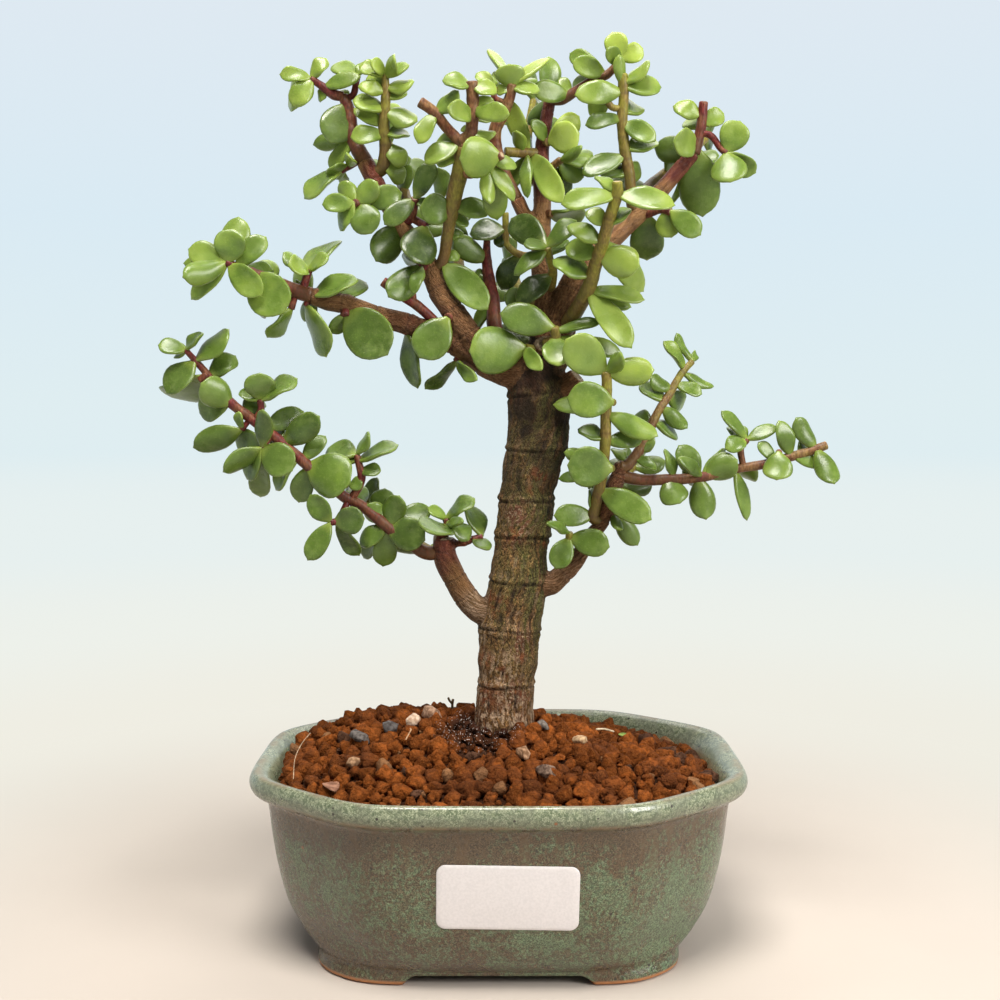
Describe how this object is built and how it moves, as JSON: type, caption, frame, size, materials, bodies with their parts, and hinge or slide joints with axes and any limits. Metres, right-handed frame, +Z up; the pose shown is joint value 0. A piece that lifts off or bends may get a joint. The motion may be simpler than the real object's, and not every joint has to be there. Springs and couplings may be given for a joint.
{
  "type": "potted dwarf jade bonsai",
  "caption": "Dwarf jade bonsai with a straight ringed trunk, spreading woody limbs and round leaves, in an oval eight-sided glazed pot of granular soil.",
  "frame": {"origin": "under the middle of the pot, on the surface it stands on", "axes": "+Z up, -Y towards the front with the sticker, +X to the viewer's right"},
  "size_m": [0.2372, 0.129, 0.3209],
  "materials": {
    "glaze": "mottled green over grey-brown glaze, speckled, glossy",
    "fired_clay_soil": "matt orange-brown fired-clay granules",
    "bark": "rough brown bark with green patches and scar rings",
    "foliage": "smooth, waxy, bright green leaves and young stems",
    "drain_mesh": "black moulded plastic",
    "sticker": "blank off-white paper, satin"
  },
  "bodies": {
    "root": {"pot": "glaze", "soil": "fired_clay_soil", "trunk": "bark", "drain_mesh_left": "drain_mesh", "drain_mesh_right": "drain_mesh", "sticker": "sticker", "lower_left_shoot": "foliage", "stub_top_shoot": "foliage", "stub_side_shoot": "foliage", "left_tip_shoot": "foliage", "left_leaf_outer": "foliage", "left_leaf_middle": "foliage", "left_leaf_inner": "foliage", "left_leaf_front": "foliage", "upper_left_outer_shoot": "foliage", "upper_left_inner_shoot": "foliage", "left_cluster_shoot": "foliage", "middle_left_shoot": "foliage", "left_limb_side_shoot": "foliage", "bare_spur": "foliage", "centre_left_shoot": "foliage", "top_left_shoot": "foliage", "top_right_shoot": "foliage", "top_cross_shoot": "foliage", "top_front_shoot": "foliage", "top_brown_twig": "foliage", "top_limb_leaf": "foliage", "right_olive_shoot": "foliage", "right_tip_shoot": "foliage", "right_maroon_twig": "foliage", "front_olive_shoot": "foliage", "centre_shoot": "foliage", "centre_back_twig": "foliage", "centre_low_leaf": "foliage", "centre_maroon_twig": "foliage", "trunk_top_shoot": "foliage", "trunk_top_leaf": "foliage", "right_green_shoot": "foliage", "right_limb_leaves": "foliage", "right_low_twig": "foliage", "right_long_shoot": "foliage", "right_rising_shoot": "foliage", "back_shoot_left_low": "foliage", "back_shoot_left_high": "foliage", "back_shoot_left_inner": "foliage", "back_shoot_centre_low": "foliage", "back_shoot_centre_high": "foliage", "back_shoot_right_high": "foliage", "back_shoot_right_low": "foliage", "back_shoot_stub": "foliage"}
  },
  "joints": []
}
